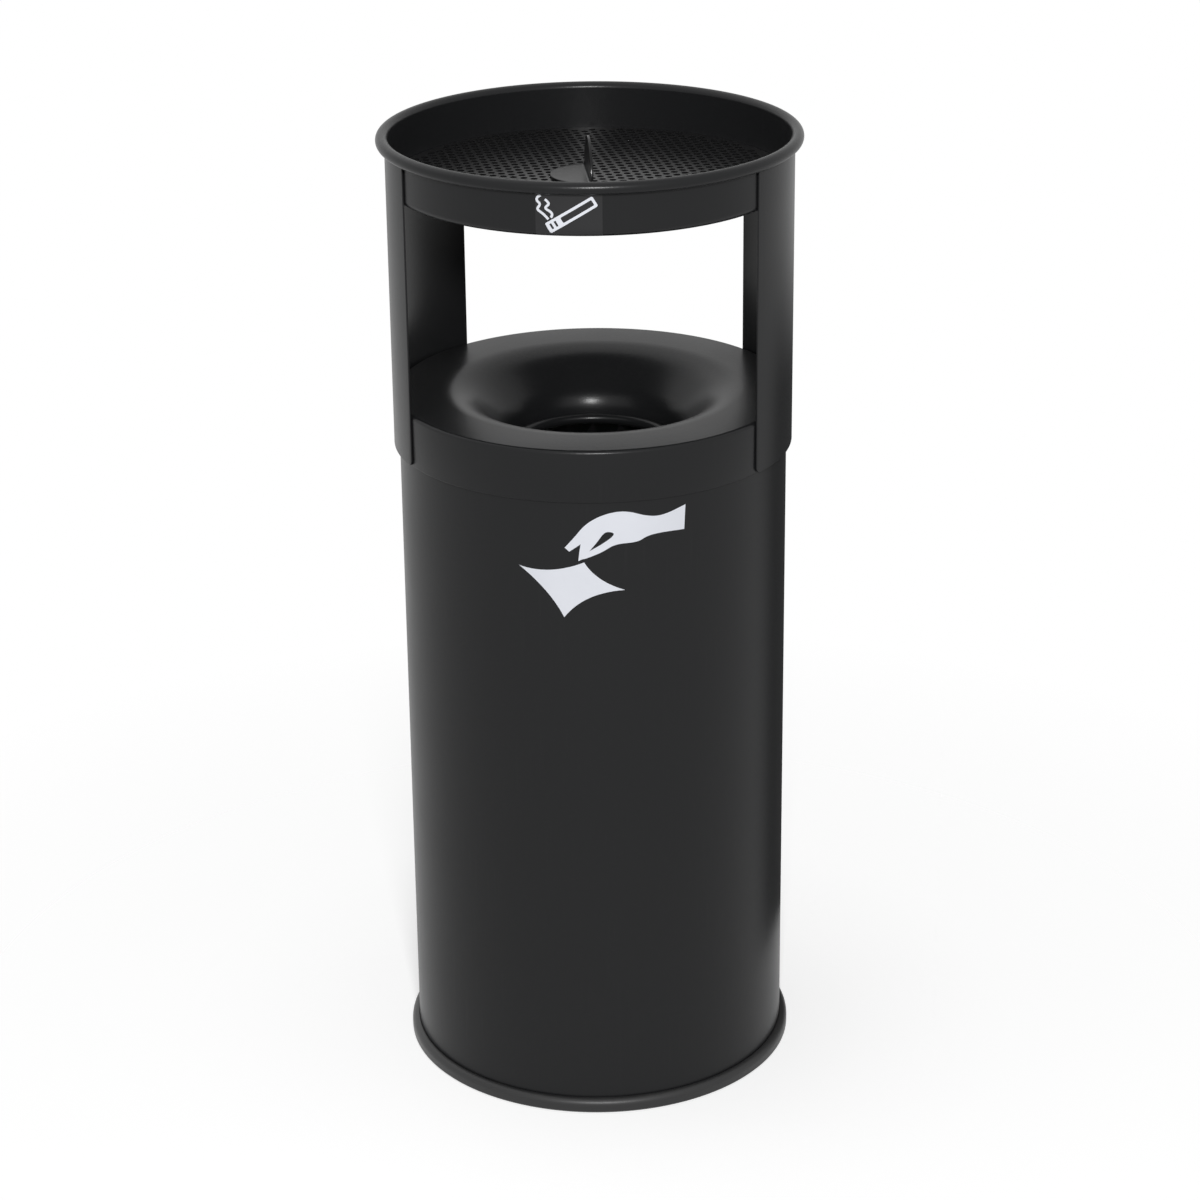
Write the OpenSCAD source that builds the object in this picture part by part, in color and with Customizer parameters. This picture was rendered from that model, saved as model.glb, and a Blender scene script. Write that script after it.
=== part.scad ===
// Round litter bin with an ashtray head: a cylindrical bin body on a base ring, a lift-off head made of a
// funnel lid, two uprights and an ash pan, a perforated plate in the pan, and an inner bucket with a bail.
// Millimetres, +Z up, the origin on the floor under the middle, the front towards -Y.

/* [Body] */
// Outside diameter of the body shell
body_d = 302; // [270:1:340]
// Thickness of the painted steel sheet
sheet_t = 1.2; // [0.8:0.1:1.6]
// Height of the body's floor, on its upper side
floor_z = 16; // [13:0.5:30]
// Outside radius of the bend round the body's floor
floor_bend = 4; // [2:0.5:8]
// Height of the hem folded inwards at the shell's top
hem_h = 12; // [6:0.5:20]
// Gap between sheets that are welded or pressed together
weld_gap = 0.1; // [0.05:0.01:0.2]
// Gap between pieces that lift apart
lift_gap = 0.3; // [0.2:0.05:0.5]

/* [Base ring] */
// Height of the base ring
ring_h = 11.5; // [9:0.5:13]
// How far the ring stands out from the body
ring_out = 6; // [5:0.5:8]
// Flat land between the body and the ring's round flank
ring_land = 0.5; // [0.2:0.1:1.5]
// Thickness of the ring under the body's lower edge
ring_web = 3; // [2:0.5:5]
// Width of the lip inside the body
ring_lip_w = 3; // [2:0.5:8]
// Height of the lip inside the body
ring_lip_h = 8; // [6:0.5:10]
// Bevel round the ring's underside
ring_bevel = 1.5; // [0.5:0.1:2]

/* [Lid] */
// Height of the flat lid above the floor
lid_top = 558.5; // [500:0.5:620]
// Gap between the lid's skirt and the body
skirt_gap = 1.5; // [0.5:0.1:2]
// Height of the lid's skirt
skirt_h = 40.5; // [30:0.5:60]
// Outside radius of the lid's shoulder
shoulder_r = 3; // [2.5:0.5:8]
// Diameter at which the flat lid starts to curve into the mouth
mouth_d = 236; // [222:1:244]
// Radius of the curve into the mouth
mouth_bend = 41; // [32:0.5:46]
// Lean of the funnel's wall, in degrees from upright
funnel_lean = 45; // [35:1:50]
// Radius of the curve from the funnel into the throat
throat_bend = 30; // [12:0.5:36]
// Diameter of the throat
throat_d = 133; // [120:1:140]
// Height of the throat's straight wall
throat_h = 1.5; // [1:0.1:12]
// Radius of the rolled edge under the throat
throat_bead = 4; // [3:0.1:5]

/* [Uprights] */
// Thickness of an upright
upright_t = 1.5; // [1.2:0.1:3]
// How far an upright reaches in front of the side, in degrees
upright_front = 32; // [20:0.5:40]
// How far an upright reaches behind the side, in degrees
upright_back = 43.5; // [25:0.5:50]
// Radius of an upright's lower corners
upright_corner = 5; // [2:0.5:10]

/* [Ash pan] */
// Height of the ash pan's rim above the floor
rim_top = 762.5; // [720:0.5:840]
// Height of the ash pan
pan_h = 42; // [38:0.5:60]
// Radius inside the pan's lower corner
pan_corner = 4.5; // [3:0.5:14]
// Radius of the rolled rim
rim_bead = 4.7; // [4:0.1:6]

/* [Perforated plate] */
// Height of the plate's upper face above the pan's floor
grid_h = 4.6; // [3:0.1:9]
// Thickness of the plate
grid_t = 1.2; // [0.8:0.1:2]
// Diameter of a hole
hole_d = 5.5; // [4:0.1:6]
// Distance between neighbouring holes
hole_pitch = 8.3; // [7.5:0.1:11]
// Width of the plain edge outside the holes
grid_edge = 3; // [2:0.5:10]
// Turn of the hole rows from the front-to-back line, in degrees
grid_turn = 16; // [0:1:30]

/* [Lifting tab] */
// Diameter of the disc that is folded to make the tab
tab_d = 61; // [40:0.5:70]
// Thickness of the tab
tab_t = 2; // [1.2:0.1:3]
// Radius inside the tab's fold
tab_bend = 1.5; // [1:0.1:3]
// Turn of the tab's fold from the front-to-back line, in degrees
tab_turn = 10; // [0:1:30]

/* [Inner bucket] */
// Thickness of the bucket's sheet
liner_t = 0.8; // [0.6:0.1:1.2]
// Radius of the bucket's rolled rim
liner_bead = 2.2; // [2:0.1:3.5]
// Free height between the bucket's rim and the lid's throat
liner_room = 8; // [4:0.5:40]
// Height of the bucket's floor above its lower edge
liner_kick = 8; // [5:0.5:20]
// Diameter of the bail's wire
wire_d = 4.5; // [4:0.1:6]
// Gap between the bail and the hem of the body
bail_gap = 4.1; // [2:0.1:8]
// Gap between the bail and the bucket's rim
rim_gap = 1.3; // [1.1:0.1:3]
// Thickness of an ear
ear_t = 1.5; // [1:0.1:2]
// Height of an ear
ear_h = 14; // [11:0.5:18]
// Half the width of an ear's raised middle, in degrees
ear_raise = 4.5; // [3.5:0.1:6]
// Half the width of a whole ear, in degrees
ear_reach = 10.5; // [9.5:0.1:14]
// Gap between an ear and the bail
ear_gap = 0.8; // [0.4:0.1:1.5]
// Gap between the bucket's rim and the ears
ear_drop = 1; // [0.5:0.1:3]
// How far a pin's tail reaches behind the ear
pin_tail = 1.5; // [1:0.1:3]
// Diameter of a rivet's shank
rivet_d = 4; // [3:0.1:4.5]
// Thickness of a rivet's head
head_t = 1; // [0.6:0.1:1.4]

/* [Hidden] */
$fn = 96;
// Largest turn between two points of a round stretch, in degrees
arc_step = 6;
// Turn of a rolled edge, in degrees, short of closing on the wall
curl_turn = 290;
// Extra length of a cutter past the face that it cuts
cut = 1;
// How far a corner's round starts outside the plate, so that it crosses both edges
corner_off = 0.05;
// Radial play of the bail's pins in the ears
pin_play = 0.1;
// Play of a rivet's shank in its hole
rivet_play = 0.05;
// Share of the wire's diameter left in the bail's pins
pin_share = 0.96;
// Overrun of the bail's wire past the pins, in degrees
bail_over = 2;
// Diameter of a rivet's head, as a multiple of its shank
head_ratio = 1.75;

// Body
body_r = body_d / 2;
shell_ri = body_r - sheet_t;
hem_ri = body_r - 2 * sheet_t;
floor_ro = shell_ri - weld_gap;
floor_ri = floor_ro - sheet_t;

// Base ring
groove_ro = body_r + weld_gap;
groove_ri = floor_ri - weld_gap;
ring_ro = body_r + ring_out;
ring_ri = groove_ri - ring_lip_w;
flank_r = ring_out - ring_land;
flank_c = ring_ro - flank_r;
flank_z = ring_h - flank_r;

// Lid
skirt_ri = body_r + skirt_gap;
skirt_ro = skirt_ri + sheet_t;
skirt_z = lid_top - skirt_h;
shoulder_c = [skirt_ro - shoulder_r, lid_top - shoulder_r];
mouth_r = mouth_d / 2;
throat_r = throat_d / 2;
funnel_run = mouth_r - throat_r - mouth_bend * cos(funnel_lean) - throat_bend * (1 - cos(funnel_lean));
funnel_fall = funnel_run / tan(funnel_lean);
throat_top = lid_top - mouth_bend * (1 - sin(funnel_lean)) - funnel_fall - throat_bend * sin(funnel_lean);
throat_bead_z = throat_top - throat_h;
throat_low = throat_bead_z - throat_bead;

// The shell's hem rises until its round top meets the inside of the lid's shoulder or of its flat.
hem_room = shoulder_r - 2 * sheet_t - lift_gap;
hem_off = shell_ri - shoulder_c[0];
hem_under_flat = lid_top - 2 * sheet_t - lift_gap;
hem_under_bend = shoulder_c[1] + sqrt(max(0, hem_room * hem_room - hem_off * hem_off));
hem_c = hem_off > 0 ? min(hem_under_flat, hem_under_bend) : hem_under_flat;

// Uprights and ash pan
upright_ri = skirt_ro + weld_gap;
upright_ro = upright_ri + upright_t;
pan_ro = skirt_ro;
pan_z = rim_top - pan_h;
pan_corner_ro = pan_corner + sheet_t;
rim_c = [pan_ro - sheet_t + rim_bead, rim_top - rim_bead];
upright_top = rim_c[1] - rim_bead - weld_gap;

// Perforated plate, which hangs in the pan on the round of its lower corner
pan_floor = pan_z + sheet_t;
grid_z = pan_floor + grid_h - grid_t;
seat_rise = max(0, pan_floor + pan_corner - grid_z);
seat_reach = pan_corner - lift_gap;
grid_r = pan_ro - sheet_t - pan_corner + sqrt(seat_reach * seat_reach - seat_rise * seat_rise);
hole_row = hole_pitch * sqrt(3) / 2;
hole_reach = grid_r - grid_edge - hole_d / 2;
tab_z = grid_z + grid_t;

// Inner bucket
bail_ro = hem_ri - bail_gap;
bail_r = bail_ro - wire_d / 2;
liner_rim_ro = bail_ro - wire_d - rim_gap;
liner_ri = liner_rim_ro - 2 * liner_bead;
liner_ro = liner_ri + liner_t;
liner_z = floor_z + lift_gap;
liner_rim_z = throat_low - liner_room - liner_bead;
liner_base_ro = liner_ri - weld_gap;
liner_base_bend = 2 * liner_t;
pivot_z = liner_rim_z - liner_bead - ear_drop - ear_h / 2;
ear_foot_ri = liner_ro + weld_gap;
ear_foot_ro = ear_foot_ri + ear_t;
ear_top_ro = bail_ro - wire_d - ear_gap;
ear_top_ri = ear_top_ro - ear_t;
pin_r = pin_share * wire_d / 2;
rivet_turn = (ear_raise + ear_reach) / 2;
head_r = head_ratio * rivet_d / 2;

paint = [0.16, 0.16, 0.165];
ring_black = [0.2, 0.2, 0.21];
zinc = [0.72, 0.74, 0.76];
wire_steel = [0.6, 0.61, 0.63];

// Points along an arc about c, from angle a0 to angle a1
function arc(c, r, a0, a1) =
    let (n = max(2, ceil(abs(a1 - a0) / arc_step)))
    [for (i = [0 : n]) let (a = a0 + (a1 - a0) * i / n) c + r * [cos(a), sin(a)]];

function reversed(points) = [for (i = [len(points) - 1 : -1 : 0]) points[i]];

// A closed outline between the two faces of a bent sheet
module sheet_outline(face, back) {
    polygon(concat(face, reversed(back)));
}

// The lid's section, at a depth below its upper face: skirt, shoulder, flat, mouth, funnel, throat, curl
function lid_line(depth) = concat(
    [[skirt_ro - depth, skirt_z]],
    arc(shoulder_c, shoulder_r - depth, 0, 90),
    arc([mouth_r, lid_top - mouth_bend], mouth_bend - depth, 90, 180 - funnel_lean),
    arc([throat_r + throat_bend, throat_top], throat_bend - depth, 180 - funnel_lean, 180),
    arc([throat_r + sheet_t - throat_bead, throat_bead_z], throat_bead - sheet_t + depth, 0, -curl_turn)
);

// The pan's section, at a depth inside its outer face: floor, corner, wall, rolled rim
function pan_line(depth) = concat(
    [[0, pan_z + depth]],
    arc([pan_ro - pan_corner_ro, pan_z + pan_corner_ro], pan_corner_ro - depth, -90, 0),
    arc(rim_c, rim_bead - sheet_t + depth, 180, 180 - curl_turn)
);

// A floor with its edge turned down, at a depth below its upper face
function floor_line(depth, top, low, r, bend) = concat(
    [[0, top - depth]],
    arc([r - bend, top - bend], bend - depth, 90, 0),
    [[r - depth, low]]
);

// The bucket's wall, at a depth inside its outer face, with its rim rolled outwards
function liner_line(depth) = concat(
    [[liner_ro - depth, liner_z]],
    arc([liner_ri + liner_bead, liner_rim_z], liner_bead - liner_t + depth, 180, 180 - curl_turn)
);

module body_shell() {
    fold_z = hem_c - hem_h;
    color(paint) rotate_extrude() polygon(concat(
        [[body_r, ring_web]],
        arc([shell_ri, hem_c], sheet_t, 0, 180),
        [[hem_ri, fold_z], [shell_ri, fold_z], [shell_ri, ring_web]]
    ));
}

module body_floor() {
    color(paint) rotate_extrude() sheet_outline(
        floor_line(0, floor_z, ring_web, floor_ro, floor_bend),
        floor_line(sheet_t, floor_z, ring_web, floor_ro, floor_bend)
    );
}

module base_ring() {
    color(ring_black) rotate_extrude() polygon(concat(
        [[ring_ri, 0], [ring_ro - ring_bevel, 0], [ring_ro, ring_bevel]],
        arc([flank_c, flank_z], flank_r, 0, 90),
        [[groove_ro, ring_h], [groove_ro, ring_web], [groove_ri, ring_web]],
        [[groove_ri, ring_lip_h], [ring_ri, ring_lip_h]]
    ));
}

module lid_cover() {
    color(paint) rotate_extrude() sheet_outline(lid_line(0), lid_line(sheet_t));
}

// What is cut away to round the lower corner of an upright, at the edge that lies in the XZ plane
module corner_cut() {
    translate([upright_ri - cut, -corner_off, skirt_z - corner_off]) difference() {
        translate([0, -cut, -cut]) cube([upright_t + 2 * cut, upright_corner + cut, upright_corner + cut]);
        translate([-cut, upright_corner, upright_corner]) rotate([0, 90, 0])
            cylinder(r = upright_corner, h = upright_t + 4 * cut);
    }
}

// The upright on the +X side: a curved plate with rounded lower corners
module upright() {
    difference() {
        rotate([0, 0, -upright_front]) rotate_extrude(angle = upright_front + upright_back)
            translate([upright_ri, skirt_z]) square([upright_t, upright_top - skirt_z]);
        rotate([0, 0, -upright_front]) corner_cut();
        rotate([0, 0, upright_back]) mirror([0, 1, 0]) corner_cut();
    }
}

module upright_right() {
    color(paint) upright();
}

module upright_left() {
    color(paint) mirror([1, 0, 0]) upright();
}

module ash_pan() {
    color(paint) rotate_extrude() sheet_outline(pan_line(0), pan_line(sheet_t));
}

// A round plate with staggered round holes
module grid_plate() {
    rows = ceil(grid_r / hole_row);
    cols = ceil(grid_r / hole_pitch) + 1;
    spots = [for (j = [-rows : rows], i = [-cols : cols])
        let (p = [j * hole_row, (i + (j % 2) / 2) * hole_pitch])
        if (norm(p) <= hole_reach) p];
    color(paint) translate([0, 0, grid_z]) rotate([0, 0, grid_turn]) linear_extrude(grid_t) difference() {
        circle(r = grid_r);
        for (p = spots) translate(p) circle(d = hole_d);
    }
}

// The tab's section, at a depth inside its outer face: one flat half, the fold, one upright half
function tab_line(depth) = concat(
    [[-tab_d / 2, depth]],
    arc([-tab_bend - tab_t, tab_bend + tab_t], tab_bend + tab_t - depth, -90, 0),
    [[-depth, tab_d / 2]]
);

// A round disc folded along its middle: one half lies on the plate, the other stands up as the grip
module lifting_tab() {
    color(paint) translate([0, 0, tab_z]) rotate([0, 0, tab_turn]) intersection() {
        rotate([90, 0, 0]) linear_extrude(tab_d, center = true)
            sheet_outline(tab_line(0), tab_line(tab_t));
        sphere(d = tab_d);
    }
}

// Places a shape at each rivet of the two ears, with its X axis pointing outwards
module at_rivets() {
    for (side = [0, 180], turn = [-rivet_turn, rivet_turn])
        rotate([0, 0, side + turn]) translate([0, 0, pivot_z]) children();
}

// A round bar along X, from x0 to x1
module bar(d, x0, x1) {
    translate([x0, 0, 0]) rotate([0, 90, 0]) cylinder(d = d, h = x1 - x0);
}

module liner_wall() {
    color(zinc) difference() {
        rotate_extrude() sheet_outline(liner_line(0), liner_line(liner_t));
        at_rivets() bar(rivet_d + 2 * rivet_play, liner_ri - cut, liner_ro + cut);
    }
}

module liner_floor() {
    top = liner_z + liner_kick;
    color(zinc) rotate_extrude() sheet_outline(
        floor_line(0, top, liner_z, liner_base_ro, liner_base_bend),
        floor_line(liner_t, top, liner_z, liner_base_ro, liner_base_bend)
    );
}

// An ear's plan, at a depth inside its outer face: a foot, the raised middle and the other foot
function ear_line(depth) =
    let (a = ear_raise - depth / ear_top_ro * 180 / PI)
    concat(
        arc([0, 0], ear_foot_ro - depth, -ear_reach, -a),
        arc([0, 0], ear_top_ro - depth, -a, a),
        arc([0, 0], ear_foot_ro - depth, a, ear_reach)
    );

// The ear on the +X side: a strap round the wall, raised in the middle to hold the bail's pin
module ear() {
    difference() {
        translate([0, 0, pivot_z]) linear_extrude(ear_h, center = true)
            sheet_outline(ear_line(0), ear_line(ear_t));
        translate([0, 0, pivot_z]) bar(2 * (pin_r + pin_play), ear_top_ri - cut, ear_top_ro + cut);
        at_rivets() bar(rivet_d + 2 * rivet_play, ear_foot_ri - cut, ear_foot_ro + cut);
    }
}

module liner_ear_right() {
    color(zinc) ear();
}

module liner_ear_left() {
    color(zinc) rotate([0, 0, 180]) ear();
}

// The rivets through the ears and the wall, each with a flat head on both sides
module ear_rivets() {
    inner = liner_ri - weld_gap;
    outer = ear_foot_ro + weld_gap;
    color(wire_steel) at_rivets() {
        bar(rivet_d, inner - head_t / 2, outer + head_t / 2);
        bar(2 * head_r, inner - head_t, inner);
        bar(2 * head_r, outer, outer + head_t);
    }
}

// A half ring of wire behind the bucket, with a pin at each end that turns in the ear
module liner_bail() {
    color(wire_steel) translate([0, 0, pivot_z]) {
        rotate([0, 0, -bail_over]) rotate_extrude(angle = 180 + 2 * bail_over)
            translate([bail_r, 0]) circle(d = wire_d);
        for (side = [0, 180]) rotate([0, 0, side]) bar(2 * pin_r, ear_top_ri - pin_tail, bail_r);
    }
}

body_shell();
body_floor();
base_ring();
lid_cover();
upright_left();
upright_right();
ash_pan();
grid_plate();
lifting_tab();
liner_wall();
liner_floor();
liner_ear_left();
liner_ear_right();
ear_rivets();
liner_bail();
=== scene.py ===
# %% [markdown]
# # A round litter bin with an ashtray head
# The bin is a painted steel cylinder on a plastic ring. Its head lifts off in one piece: a lid spun into a
# funnel, two curved uprights, and a shallow pan that carries a perforated plate. A zinc bucket stands inside.
# Nearly every piece is sheet metal that was rolled or spun, so nearly every mesh here is a section carried
# round an axis or a flat outline wrapped on a cylinder. Both are easy to write as whole numpy arrays.

import bmesh
import bpy
import numpy as np
from mathutils import Matrix, Vector
from mathutils.geometry import delaunay_2d_cdt


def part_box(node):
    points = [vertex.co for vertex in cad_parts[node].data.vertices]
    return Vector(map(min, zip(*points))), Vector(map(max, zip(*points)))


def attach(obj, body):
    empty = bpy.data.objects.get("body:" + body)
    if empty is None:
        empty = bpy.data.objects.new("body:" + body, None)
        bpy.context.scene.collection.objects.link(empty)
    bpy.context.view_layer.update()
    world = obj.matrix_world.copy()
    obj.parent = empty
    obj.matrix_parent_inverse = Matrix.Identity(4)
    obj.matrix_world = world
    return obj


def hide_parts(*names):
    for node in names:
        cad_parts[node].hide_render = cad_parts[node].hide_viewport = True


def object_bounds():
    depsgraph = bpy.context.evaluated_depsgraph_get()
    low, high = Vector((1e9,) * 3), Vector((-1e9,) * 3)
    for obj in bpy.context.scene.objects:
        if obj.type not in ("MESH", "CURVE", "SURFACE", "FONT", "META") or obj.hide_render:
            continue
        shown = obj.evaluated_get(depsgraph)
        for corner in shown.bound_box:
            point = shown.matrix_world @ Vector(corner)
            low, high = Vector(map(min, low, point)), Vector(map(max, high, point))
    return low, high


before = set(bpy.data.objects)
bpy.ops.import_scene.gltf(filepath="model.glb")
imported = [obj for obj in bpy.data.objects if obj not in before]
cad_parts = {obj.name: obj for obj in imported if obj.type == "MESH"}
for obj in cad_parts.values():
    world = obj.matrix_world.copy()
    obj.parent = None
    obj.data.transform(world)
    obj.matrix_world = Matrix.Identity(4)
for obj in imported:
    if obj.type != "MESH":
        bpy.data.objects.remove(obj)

CAD_LOW, CAD_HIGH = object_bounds()
print("nodes:", sorted(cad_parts))

# %% [markdown]
# ## Measuring the frame
# The solid model already has the right size, so the script asks it for sizes instead of repeating them.
# Heights come from a node's box. Radii can't, because a box round a circle of facets is a little too small
# or turned, so the radius is the largest distance of any vertex from the upright axis. Thicknesses and bends
# don't show in a box, so they are named next to the pieces that have them.

# %% Sizes taken from the frame
MM = 0.001


def reach(node):
    """Radius of a node in millimetres: the largest distance of its vertices from the Z axis."""
    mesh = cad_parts[node].data
    flat = np.empty(len(mesh.vertices) * 3, np.float32)
    mesh.vertices.foreach_get("co", flat)
    x, y, _ = flat.reshape(-1, 3).T
    return float(np.hypot(x, y).max()) / MM


def levels(node):
    """Lowest and highest Z of a node in millimetres."""
    low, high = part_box(node)
    return low.z / MM, high.z / MM


BODY_R = reach("body_shell")
BODY_LOW, BODY_TOP = levels("body_shell")
FLOOR_TOP = levels("body_floor")[1]
RING_R, RING_TOP = reach("base_ring"), levels("base_ring")[1]
SKIRT_R, LID_TOP = reach("lid_cover"), levels("lid_cover")[1]
UPRIGHT_R = reach("upright_right")
UPRIGHT_LOW, UPRIGHT_TOP = levels("upright_right")
SKIRT_LOW = UPRIGHT_LOW
PAN_LOW, RIM_TOP = levels("ash_pan")
PLATE_TOP = levels("grid_plate")[1]
LINER_LOW, LINER_TOP = levels("liner_wall")
LINER_FLOOR_TOP = levels("liner_floor")[1]
BAIL_Z = sum(levels("liner_bail")) / 2
BAIL_OUT = reach("liner_bail")
print(f"body radius {BODY_R:.1f}, lid top {LID_TOP:.1f}, rim top {RIM_TOP:.1f} mm")

# %% [markdown]
# ## The camera
# The photograph was taken with a long lens from well above the rim. Its place and angles were fitted to the
# round edges of the bin, which show as ellipses. Blender wants a matrix whose columns are the camera's
# right, up and backward directions. A tracking constraint would be shorter, but it can't hold the small roll.

# %% Camera
CAMERA_DISTANCE = 2403.86
CAMERA_HEIGHT = 1352.75
CAMERA_TURN = np.radians(5.4)
CAMERA_YAW = np.radians(5.304)
CAMERA_PITCH = 0.38504
CAMERA_ROLL = -0.01084
SENSOR_WIDTH = 36.0
FOCAL_PIXELS = 3245.1
PHOTO_PIXELS = 1200.0


def camera_matrix():
    """World matrix of a camera turned by yaw about Z, tipped down by pitch, then rolled about its axis."""
    side = np.array([np.cos(CAMERA_YAW), np.sin(CAMERA_YAW), 0.0])
    level = np.array([-np.sin(CAMERA_YAW), np.cos(CAMERA_YAW), 0.0])
    upward = np.array([0.0, 0.0, 1.0])
    forward = np.cos(CAMERA_PITCH) * level - np.sin(CAMERA_PITCH) * upward
    crown = np.sin(CAMERA_PITCH) * level + np.cos(CAMERA_PITCH) * upward
    right = np.cos(CAMERA_ROLL) * side + np.sin(CAMERA_ROLL) * crown
    top = np.cos(CAMERA_ROLL) * crown - np.sin(CAMERA_ROLL) * side
    place = MM * np.array([
        CAMERA_DISTANCE * np.sin(CAMERA_TURN),
        -CAMERA_DISTANCE * np.cos(CAMERA_TURN),
        CAMERA_HEIGHT,
    ])
    made = np.eye(4)
    made[:3, :] = np.column_stack([right, top, -forward, place])
    return Matrix(made.tolist())


camera_data = bpy.data.cameras.new("photo_camera")
camera_data.sensor_width = SENSOR_WIDTH
camera_data.lens = FOCAL_PIXELS / PHOTO_PIXELS * SENSOR_WIDTH
camera = bpy.data.objects.new("photo_camera", camera_data)
bpy.context.scene.collection.objects.link(camera)
camera.matrix_world = camera_matrix()
bpy.context.scene.camera = camera
print(f"lens {camera_data.lens:.1f} mm at {tuple(round(v, 3) for v in camera.location)}")

# %% [markdown]
# ## From arrays to a mesh
# A shape that is a function of two parameters is an array of points with two indices. Its faces are then only
# index arithmetic: point (i, j) joins (i+1, j), (i+1, j+1) and (i, j+1). Where a direction closes on itself,
# the last row joins the first. `foreach_set` copies the arrays into Blender in one go, which is far quicker
# than adding vertices one by one. Rows that fall on one point, as at the middle of a disc, are merged after,
# and the lone edge that this leaves on the axis goes. Each piece then says which body it rides on, which
# finish it takes, and which solid it replaces. The signs replace nothing.

# %% Grid faces and mesh pieces
CM3 = 1e-6
SHARP_ANGLE = np.radians(38)
MERGE = 1e-6
PIECES = {}


def grid_quads(rows, columns, wrap_rows=False, wrap_columns=False):
    """Corner indices of every quad of a grid: (i, j), (i+1, j), (i+1, j+1), (i, j+1), wrapped if asked."""
    i = np.arange(rows if wrap_rows else rows - 1)
    j = np.arange(columns if wrap_columns else columns - 1)
    i, j = np.meshgrid(i, j, indexing="ij")
    i_next, j_next = (i + 1) % rows, (j + 1) % columns
    corners = [i * columns + j, i_next * columns + j, i_next * columns + j_next, i * columns + j_next]
    return np.stack(corners, axis=-1).reshape(-1, 4)


def add_piece(name, points, faces, finish, body, stands_for=None):
    """Makes a smooth-shaded mesh object from points in millimetres and faces with one corner count."""
    faces = np.asarray(faces, np.int32)
    count, corners = faces.shape
    mesh = bpy.data.meshes.new(name)
    mesh.vertices.add(len(points))
    mesh.vertices.foreach_set("co", (np.asarray(points) * MM).astype(np.float32).ravel())
    mesh.loops.add(count * corners)
    mesh.loops.foreach_set("vertex_index", faces.ravel())
    mesh.polygons.add(count)
    mesh.polygons.foreach_set("loop_start", np.arange(0, count * corners, corners, dtype=np.int32))
    mesh.update(calc_edges=True)
    work = bmesh.new()
    work.from_mesh(mesh)
    bmesh.ops.remove_doubles(work, verts=work.verts, dist=MERGE)
    bmesh.ops.delete(work, geom=[edge for edge in work.edges if edge.is_wire], context="EDGES")
    volume = work.calc_volume(signed=True)
    open_edges = sum(len(edge.link_faces) != 2 for edge in work.edges)
    work.to_mesh(mesh)
    work.free()
    mesh.shade_smooth()
    mesh.set_sharp_from_angle(angle=SHARP_ANGLE)
    piece = bpy.data.objects.new(name, mesh)
    bpy.context.scene.collection.objects.link(piece)
    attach(piece, body)
    if stands_for:
        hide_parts(stands_for)
    PIECES[name] = finish
    print(f"{name}: {len(mesh.polygons)} faces, {volume / CM3:.1f} cm3, {open_edges} open edges")


# %% [markdown]
# ## Sections of bent sheet
# A rolled or spun piece is drawn once, as its section: a line for the outer face, and the same line moved in
# by the sheet's thickness for the back. Bends are arcs about one centre, so only their radius changes then.
# The cut edges get a half-round cap, because paint never leaves a knife edge, and that cap catches the light.

# %% Arcs, sheet sections and spinning
ARC_STEP = 6.0
CAP_STEPS = 6
SPIN_STEPS = 240
CURL_TURN = 290.0


def arc(centre, radius, start, stop):
    """Points on a circle about a centre, from one angle to another in degrees, at most ARC_STEP apart."""
    count = max(2, int(np.ceil(abs(stop - start) / ARC_STEP)))
    angle = np.radians(np.linspace(start, stop, count + 1))
    return np.column_stack([centre[0] + radius * np.cos(angle), centre[1] + radius * np.sin(angle)])


def join(*parts):
    """Stacks single points and runs of points into one line."""
    return np.concatenate([np.atleast_2d(np.asarray(part, float)) for part in parts])


def round_end(line, back):
    """Half circle from the end of a line to the end of its back line, bulging in the line's own direction."""
    middle, half = (line[-1] + back[-1]) / 2, (back[-1] - line[-1]) / 2
    onward = line[-1] - line[-2]
    onward = onward / np.linalg.norm(onward) * np.linalg.norm(half)
    angle = np.linspace(0, np.pi, CAP_STEPS + 1)[1:-1, None]
    return middle - half * np.cos(angle) + onward * np.sin(angle)


def sheet_section(line_at, thickness):
    """Closed section of a sheet: its face, a round end, its back the other way, and a round start.

    An end that lies on the axis stays open there, because spinning closes it in a point.
    """
    face, back = line_at(0.0), line_at(thickness)
    parts = [face]
    if face[-1, 0] > 0:
        parts.append(round_end(face, back))
    parts.append(back[::-1])
    if face[0, 0] > 0:
        parts.append(round_end(back[::-1], face[::-1]))
    return np.concatenate(parts)


def spin(name, section, finish, body, stands_for):
    """Carries a section (r, z) round the Z axis: a point goes to (r cos a, r sin a, z) for even angles a."""
    r, z = section.T
    area = np.sum(r * np.roll(z, -1) - np.roll(r, -1) * z)
    if area < 0:
        r, z = r[::-1], z[::-1]
    angle = np.linspace(0, 2 * np.pi, SPIN_STEPS, endpoint=False)
    points = np.stack([
        np.outer(np.cos(angle), r),
        np.outer(np.sin(angle), r),
        np.broadcast_to(z, (SPIN_STEPS, len(z))),
    ], axis=-1).reshape(-1, 3)
    faces = grid_quads(SPIN_STEPS, len(r), wrap_rows=True, wrap_columns=True)
    add_piece(name, points, faces, finish, body, stands_for)


# %% [markdown]
# ## The body
# The body is one sheet rolled into a tube, with a hem folded inwards at the top so that the edge is stiff and
# not sharp. A cylinder primitive would have no thickness and no hem. Spinning the section gives both. The
# lid and the pan are made of the same sheet.

# %% Body shell and body floor
SHEET = 1.2
HEM_HEIGHT = 12.0
FLOOR_BEND = 4.0
WELD_GAP = 0.1


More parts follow.
